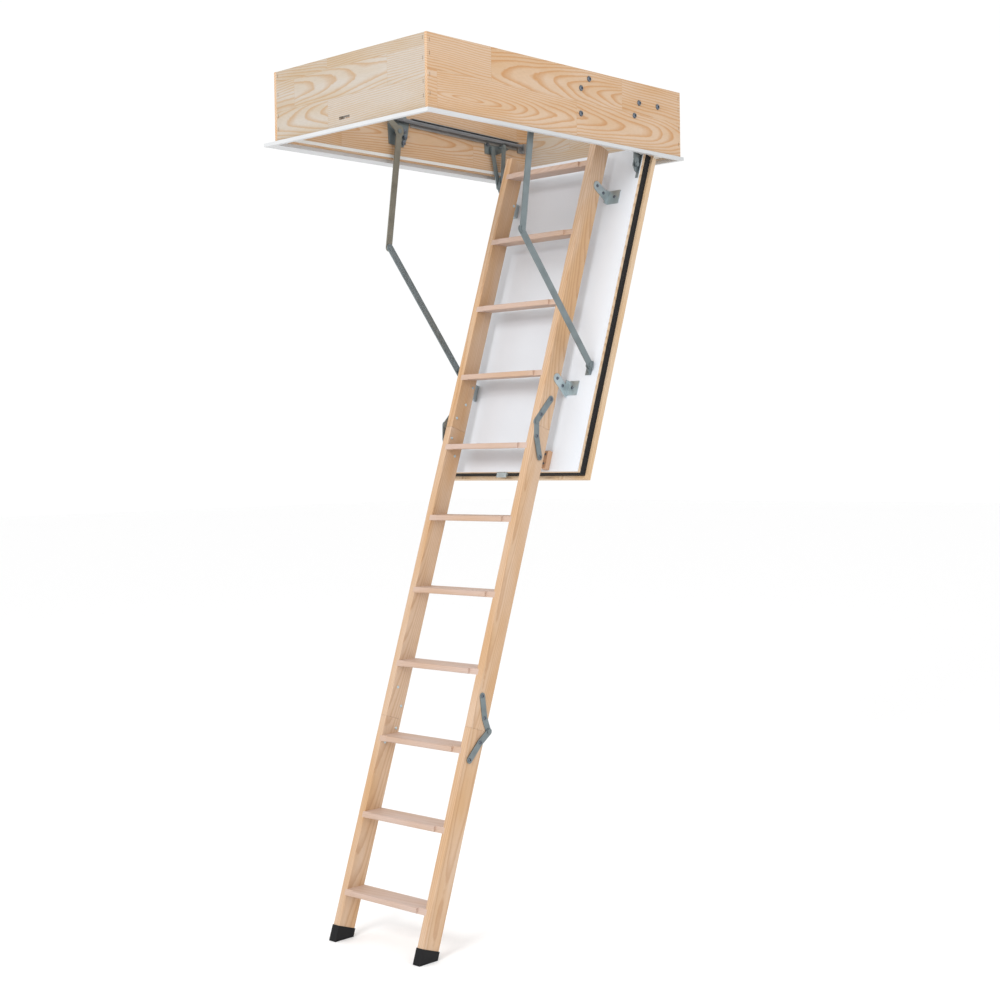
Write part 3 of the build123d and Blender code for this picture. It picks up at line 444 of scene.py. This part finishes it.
def nut_rings(radius, height):
    """A six-sided nut with rounded corners and a hole for the stem."""
    return [
        ("round", radius * 0.88, 0), ("hex", radius, height * 0.12), ("hex", radius, height * 0.88),
        ("round", radius * 0.88, height), ("round", radius * 0.5, height),
        ("round", radius * 0.5, height * 0.6),
    ]


def round_nut_rings(radius, height):
    """A six-sided nut with a round knob on it that stands out as a stop."""
    return [
        ("round", radius * 0.9, 0), ("hex", radius, height * 0.08), ("hex", radius, height * 0.4),
        ("round", radius * 0.8, height * 0.46), ("round", radius * 0.95, height * 0.55),
        ("round", radius * 0.95, height * 0.9), ("round", radius * 0.8, height),
    ]


def washer_rings(radius, height):
    """A flat washer with eased rims."""
    return [
        ("round", radius * 0.97, 0), ("round", radius, height * 0.3), ("round", radius, height * 0.7),
        ("round", radius * 0.96, height),
    ]


def stem_rings(radius, height):
    """The bolt's end, with a small chamfer."""
    return [("round", radius, 0), ("round", radius, height - 0.0005), ("round", radius * 0.75, height)]


def islands(name):
    """Lowest and highest corners of each separate solid in a CAD node."""
    mesh = nodes[name].data
    places = [tuple(round(c, 6) for c in vertex.co) for vertex in mesh.vertices]
    parent = {place: place for place in places}

    def root(place):
        while parent[place] != place:
            parent[place] = parent[parent[place]]
            place = parent[place]
        return place

    for polygon in mesh.polygons:
        corners = [places[i] for i in polygon.vertices]
        for corner in corners[1:]:
            parent[root(corner)] = root(corners[0])
    joined = {}
    for place in parent:
        joined.setdefault(root(place), []).append(place)
    boxes = []
    for group in joined.values():
        low = Vector([min(place[i] for place in group) for i in range(3)])
        high = Vector([max(place[i] for place in group) for i in range(3)])
        boxes.append((low, high))
    return sorted(boxes, key=lambda box: tuple(box[0]))


def tube(name, points, radius, material, body, sides):
    """A closed tube of one thickness along the points."""
    vertices, faces = [], []
    side = None
    for index, point in enumerate(points):
        before, after = points[max(index - 1, 0)], points[min(index + 1, len(points) - 1)]
        heading = (Vector(after) - Vector(before)).normalized()
        if side is None:
            side = heading.orthogonal().normalized()
        else:
            side = (side - heading * side.dot(heading)).normalized()
        up = heading.cross(side)
        for step in range(sides):
            turn = tau * step / sides
            vertices.append(Vector(point) + (side * cos(turn) + up * sin(turn)) * radius)
    skin_rings(faces, 0, len(points), sides)
    return make_object(name, vertices, faces, material, body)


# ---------------------------------------------------------------- springs
SPRING_TAIL = Vector((-0.158, 0, 0.138))
SPRING_ANCHOR = Vector((0.530, 0, 0.120))
SPRING_Y = 0.316
WIRE = 0.0013                    # radius of the wire
WIRE_SIDES = 6
COIL_RADIUS = 0.0075 - WIRE
COIL_PITCH = 0.0029
COIL_STEPS = 12                  # points in one turn
COIL_FROM, COIL_TO = 0.040, 0.672
EYE_RADIUS = 0.0065
EYE_START, EYE_STEP, EYE_POINTS = 25, 15, 21
EYE_STEM_STEP = 0.006
STEM_GAP = 0.004


def spring_points(tail):
    """Close-wound coil with an open eye at the tail and a straight stem at the anchor."""
    heading = (SPRING_ANCHOR - SPRING_TAIL).normalized()
    across = Vector((0, 1, 0))
    up = heading.cross(across)
    eye_turns = [radians(EYE_START + EYE_STEP * step) for step in range(EYE_POINTS)]
    points = [tail + (heading * cos(turn) + up * sin(turn)) * EYE_RADIUS for turn in eye_turns]
    points += [tail + heading * (EYE_RADIUS + STEM_GAP + EYE_STEM_STEP * step) for step in range(5)]
    turns = (COIL_TO - COIL_FROM) / COIL_PITCH
    for step in range(int(turns * COIL_STEPS) + 1):
        turn = tau * step / COIL_STEPS
        run = COIL_FROM + COIL_PITCH * step / COIL_STEPS
        spoke = (across * cos(turn) + up * sin(turn)) * COIL_RADIUS
        points.append(tail + heading * run + spoke)
    points += [tail + heading * (COIL_TO + STEM_GAP + STEM_GAP * step) for step in range(3)]
    return points


def wound_spring(side_name, side):
    across = Vector((0, side * SPRING_Y, 0))
    points = spring_points(SPRING_TAIL + across)
    spring = tube("wound_spring_" + side_name, points, WIRE, spring_steel, "casing", WIRE_SIDES)
    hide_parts("spring_" + side_name)
    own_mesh(spring)


for side_name, side in SIDES.items():
    wound_spring(side_name, side)

# ---------------------------------------------------------------- bolts through the side boards
BOARD_FACE = 0.350
PLATE_FACE = 0.326
WASHER_RADIUS, WASHER_HEIGHT = 0.0094, 0.0011
HEAD_RADIUS, HEAD_HEIGHT = 0.0082, 0.0036
NUT_RADIUS, ROUND_NUT_RADIUS = 0.0068, 0.0082
STEM_RADIUS, STEM_SHOW = 0.0032, 0.001
LONG_REACH = 0.008               # bolts that reach further in than this carry a round nut


def add_board_bolt(solids, low, high):
    """Washer and head on the board's outer face, nut and stem on the plate inside it."""
    outward = 1 if low.y + high.y > 0 else -1
    axis = Vector((0, outward, 0))
    middle = (low + high) / 2
    outer_face = Vector((middle.x, outward * BOARD_FACE, middle.z))
    add_turned(solids, outer_face, axis, washer_rings(WASHER_RADIUS, WASHER_HEIGHT))
    add_turned(solids, outer_face + axis * WASHER_HEIGHT, axis, screw_rings(HEAD_RADIUS, HEAD_HEIGHT))
    plate_face = Vector((middle.x, outward * PLATE_FACE, middle.z))
    inner_end = low.y if outward > 0 else high.y
    reach = PLATE_FACE - abs(inner_end)
    if reach > LONG_REACH:
        nut = round_nut_rings(ROUND_NUT_RADIUS, reach - STEM_SHOW)
    else:
        nut = nut_rings(NUT_RADIUS, reach - STEM_SHOW)
    add_turned(solids, plate_face, -axis, nut)
    add_turned(solids, plate_face, -axis, stem_rings(STEM_RADIUS, reach))


def board_bolts():
    solids = ([], [])
    for low, high in islands("casing_bolts"):
        add_board_bolt(solids, low, high)
    bolts = make_object("board_bolts", *solids, dark_steel, "casing")
    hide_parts("casing_bolts")


board_bolts()

# ---------------------------------------------------------------- bracket screws and rivet ends
FOOT_SCREW_HEIGHT = 0.0024


def bracket_screws():
    """Screws into the stiles face sideways, and those into the hatch face out from it."""
    solids = ([], [])
    for low, high in islands("bracket_screws"):
        size = high - low
        middle = (low + high) / 2
        if size.y < size.x:
            axis = Vector((0, 1 if middle.y > 0 else -1, 0))
            height = size.y
            radius = size.x / 2
        else:
            axis = OUT
            height = FOOT_SCREW_HEIGHT
            radius = size.y / 2
        add_turned(solids, middle - axis * height / 2, axis, screw_rings(radius, height))
    screws = make_object("bracket_screw_heads", *solids, dark_steel, "hatch")
    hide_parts("bracket_screws")


def rivet_heads(section, body):
    """Domed ends of the joint's rivets, on the inner faces of the stiles."""
    solids = ([], [])
    for low, high in islands(section + "_rivets"):
        middle = (low + high) / 2
        inward = -1 if middle.y > 0 else 1
        base = Vector((middle.x, high.y if inward < 0 else low.y, middle.z))
        radius, height = (high.x - low.x) / 2, high.y - low.y
        add_turned(solids, base, (0, inward, 0), rivet_rings(radius, height))
    rivets = make_object(section + "_rivet_heads", *solids, bright_zinc, body)
    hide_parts(section + "_rivets")


bracket_screws()
for section, body in (("top", "hatch"), ("middle", "ladder_middle"), ("lower", "ladder_lower")):
    rivet_heads(section, body)

# ---------------------------------------------------------------- screws without a CAD node
# Places in ladder coordinates: along, off, and distance from the ladder's middle.
STRAP_SCREWS = {
    "hatch": [(0.899, 0.0695, 0.2095), (0.962, 0.1007, 0.2095)],
    "ladder_middle": [
        (1.0376, 0.102, 0.2123), (1.0978, 0.0678, 0.2123),
        (1.893, 0.0925, 0.2095), (1.957, 0.062, 0.2095),
    ],
    "ladder_lower": [(2.034, 0.0619, 0.2123), (2.095, 0.0917, 0.2123)],
}
STRAP_SCREW_RADIUS, STRAP_SCREW_HEIGHT = 0.0062, 0.0026
BLOCK_SCREWS = (1.073, 1.104)
BLOCK_Y, BLOCK_FACE = -0.190, 0.022
BLOCK_SCREW_RADIUS, BLOCK_SCREW_HEIGHT = 0.0042, 0.0016


def strap_screws(body, places):
    """The same screws on the outer faces of the hinge straps at both stiles."""
    solids = ([], [])
    rings = screw_rings(STRAP_SCREW_RADIUS, STRAP_SCREW_HEIGHT)
    for along, off, reach in places:
        for side in SIDES.values():
            add_turned(solids, on_slope(along, off, side * reach), (0, side, 0), rings)
    screws = make_object(body + "_strap_screws", *solids, dark_steel, body)


def stop_block_screws():
    solids = ([], [])
    rings = screw_rings(BLOCK_SCREW_RADIUS, BLOCK_SCREW_HEIGHT)
    for along in BLOCK_SCREWS:
        add_turned(solids, on_slope(along, BLOCK_FACE, BLOCK_Y), OUT, rings)
    screws = make_object("stop_block_screws", *solids, dark_steel, "hatch")


for body, places in STRAP_SCREWS.items():
    strap_screws(body, places)
stop_block_screws()

# ---------------------------------------------------------------- studio
FLOOR_Z = cad_box[0][2]
FLOOR_GAP = 0.001
FLOOR_SIZE = 80.0


def studio_floor():
    paint = Graph("pale_floor")
    paint.set("Base Color", (0.97, 0.97, 0.97, 1))
    paint.set("Roughness", 0.9)
    half, height = FLOOR_SIZE / 2, FLOOR_Z - FLOOR_GAP
    corners = [(-half, -half, height), (half, -half, height), (half, half, height), (-half, half, height)]
    mesh = bpy.data.meshes.new("floor")
    mesh.from_pydata(corners, [], [(0, 1, 2, 3)])
    mesh.materials.append(paint.material)
    floor = bpy.data.objects.new("floor", mesh)
    bpy.context.scene.collection.objects.link(floor)


def studio_world():
    world = bpy.data.worlds.new("studio")
    world.use_nodes = True
    background = world.node_tree.nodes["Background"]
    background.inputs["Color"].default_value = (1.0, 1.0, 1.0, 1)
    background.inputs["Strength"].default_value = 1.02
    bpy.context.scene.world = world
    bpy.context.scene.view_settings.view_transform = "Standard"


def area_light(name, place, target, size, power):
    light = bpy.data.lights.new(name, "AREA")
    light.size = size
    light.energy = power
    lamp = bpy.data.objects.new(name, light)
    lamp.location = place
    lamp.rotation_euler = (Vector(target) - Vector(place)).to_track_quat("-Z", "Y").to_euler()
    bpy.context.scene.collection.objects.link(lamp)


studio_floor()
studio_world()
area_light("key", (-5.5, -1.5, 1.8), (0, 0, -0.4), 2.0, 165)
area_light("fill", (-1.0, -5.0, -1.0), (0, 0, -0.8), 3.0, 25)

# ---------------------------------------------------------------- camera
CAMERA_PLACE = Vector((-3.94202, -3.79067, -1.0147))
YAW, TILT, ROLL = radians(46.45), radians(-1.5), radians(-0.89)
LENS, SENSOR = 59.26, 36.0


def studio_camera():
    """Yaw turns from +Y towards +X, then the camera tilts, then it rolls about its own view."""
    forward = Vector((sin(YAW) * cos(TILT), cos(YAW) * cos(TILT), sin(TILT)))
    level = Vector((cos(YAW), -sin(YAW), 0))
    above = level.cross(forward)
    right = level * cos(ROLL) + above * sin(ROLL)
    up = above * cos(ROLL) - level * sin(ROLL)
    camera_data = bpy.data.cameras.new("camera")
    camera_data.lens = LENS
    camera_data.sensor_width = SENSOR
    camera = bpy.data.objects.new("camera", camera_data)
    turned = Matrix((right, up, -forward)).transposed().to_4x4()
    camera.matrix_world = Matrix.Translation(CAMERA_PLACE) @ turned
    bpy.context.scene.collection.objects.link(camera)
    bpy.context.scene.camera = camera


studio_camera()
